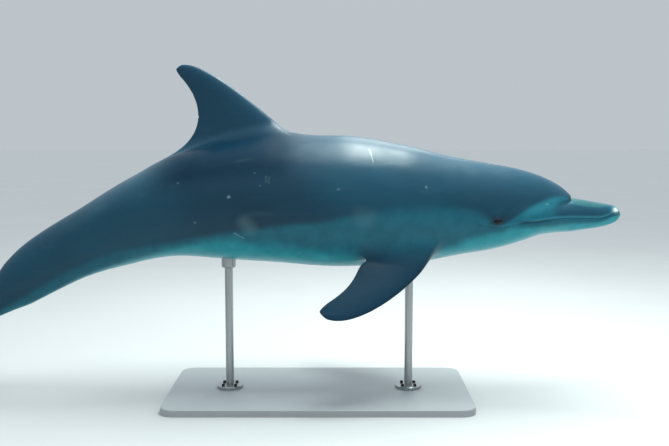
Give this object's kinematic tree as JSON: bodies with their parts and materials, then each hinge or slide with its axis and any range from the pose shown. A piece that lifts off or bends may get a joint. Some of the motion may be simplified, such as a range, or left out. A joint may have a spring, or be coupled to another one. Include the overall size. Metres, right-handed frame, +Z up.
{
  "type": "bottlenose dolphin",
  "caption": "Life-size still model of a swimming bottlenose dolphin with a down-curved tail, held on rods above a flat base plate.",
  "frame": {"origin": "middle of the underside of the stand's base plate, in the plane that halves the animal left and right", "axes": "+X from the tail towards the beak, along the model's longest extent; +Y towards the animal's left side, the shortest extent; +Z up"},
  "size_m": [2.2964, 0.6128, 1.0604],
  "materials": {
    "skin": "satin, slate grey back fading to pale grey belly",
    "fin_skin": "satin, dark slate grey",
    "eye": "gloss, dark brown",
    "stand_plate": "matt dark grey",
    "stand_steel": "satin"
  },
  "bodies": {
    "root": {"beak_upper": "skin", "lower_jaw": "skin", "head": "skin", "neck": "skin", "chest": "skin", "loin": "skin", "tail_stock": "skin", "tail_end": "skin", "dorsal_fin": "fin_skin", "flipper_left": "fin_skin", "flipper_right": "fin_skin", "fluke_left": "fin_skin", "fluke_right": "fin_skin", "eye_left": "eye", "eye_right": "eye", "stand_base": "stand_plate", "stand_flange_front": "stand_steel", "stand_flange_rear": "stand_steel", "stand_rod_front": "stand_steel", "stand_rod_rear": "stand_steel", "stand_collar_front": "stand_steel", "stand_collar_rear": "stand_steel"}
  },
  "joints": []
}
